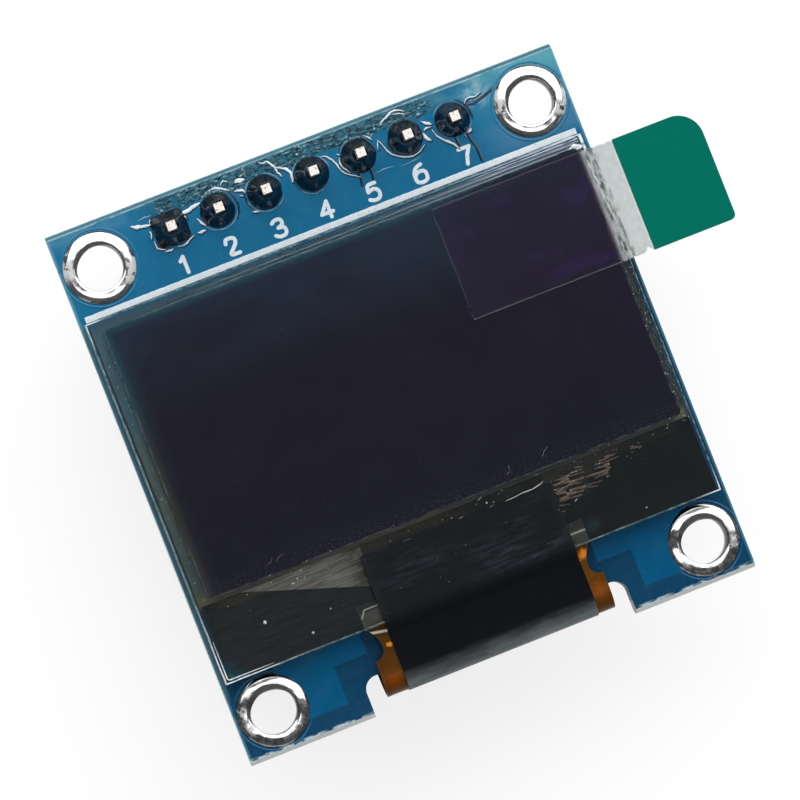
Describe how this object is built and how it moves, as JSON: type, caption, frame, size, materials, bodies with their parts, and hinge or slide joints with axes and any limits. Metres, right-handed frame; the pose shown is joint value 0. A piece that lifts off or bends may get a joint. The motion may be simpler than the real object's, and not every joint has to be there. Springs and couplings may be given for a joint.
{
  "type": "small oled display module",
  "caption": "Small OLED display module: blue board with plated mounting holes, soldered pin header, folded flexible cable and a glass panel with a green pull tab.",
  "frame": {"origin": "centre of the four mounting holes on the back face of the board", "axes": "+Z out of the display, +Y towards the pin header, +X to the right as the display is read"},
  "size_m": [0.0328, 0.0284, 0.0116],
  "materials": {
    "board": "glossy blue solder mask over glass-fibre board",
    "tin": "bright tin",
    "solder": "bright solder with flux residue",
    "housing": "satin black moulding",
    "pin_metal": "tinned brass",
    "adhesive": "soft translucent tape",
    "glass": "clear polished",
    "desiccant": "matt sheet",
    "seal": "cured glue",
    "emitter": "mirror-like metal film",
    "polarizer": "glossy near-black film",
    "silicon": "polished silicon",
    "cable_film": "amber film over copper tracks",
    "tape": "matt black tape, scuffed",
    "clear_film": "clear film",
    "tab": "opaque green film",
    "capacitor": "tan ceramic with tinned ends",
    "resistor": "black glaze with tinned ends"
  },
  "bodies": {
    "root": {"pcb": "board", "hole_plating_1": "tin", "hole_plating_2": "tin", "hole_plating_3": "tin", "hole_plating_4": "tin", "solder_joint_1": "solder", "solder_joint_2": "solder", "solder_joint_3": "solder", "solder_joint_4": "solder", "solder_joint_5": "solder", "solder_joint_6": "solder", "solder_joint_7": "solder", "header_housing": "housing", "header_pin_1": "pin_metal", "header_pin_2": "pin_metal", "header_pin_3": "pin_metal", "header_pin_4": "pin_metal", "header_pin_5": "pin_metal", "header_pin_6": "pin_metal", "header_pin_7": "pin_metal", "panel_adhesive": "adhesive", "cap_glass": "glass", "desiccant_sheet": "desiccant", "seal_bead": "seal", "emitter_layer": "emitter", "substrate_glass": "glass", "polarizer": "polarizer", "driver_chip": "silicon", "flex_cable": "cable_film", "light_shield_tape": "tape", "flex_solder_row": "solder", "pull_film": "clear_film", "pull_tab": "tab", "regulator_body": "housing", "regulator_lead_1": "tin", "regulator_lead_2": "tin", "regulator_lead_3": "tin", "capacitor_1": "capacitor", "capacitor_2": "capacitor", "capacitor_3": "capacitor", "capacitor_4": "capacitor", "capacitor_5": "capacitor", "capacitor_6": "capacitor", "capacitor_7": "capacitor", "capacitor_8": "capacitor", "resistor_1": "resistor", "resistor_2": "resistor", "resistor_3": "resistor", "resistor_4": "resistor", "resistor_5": "resistor"}
  },
  "joints": []
}
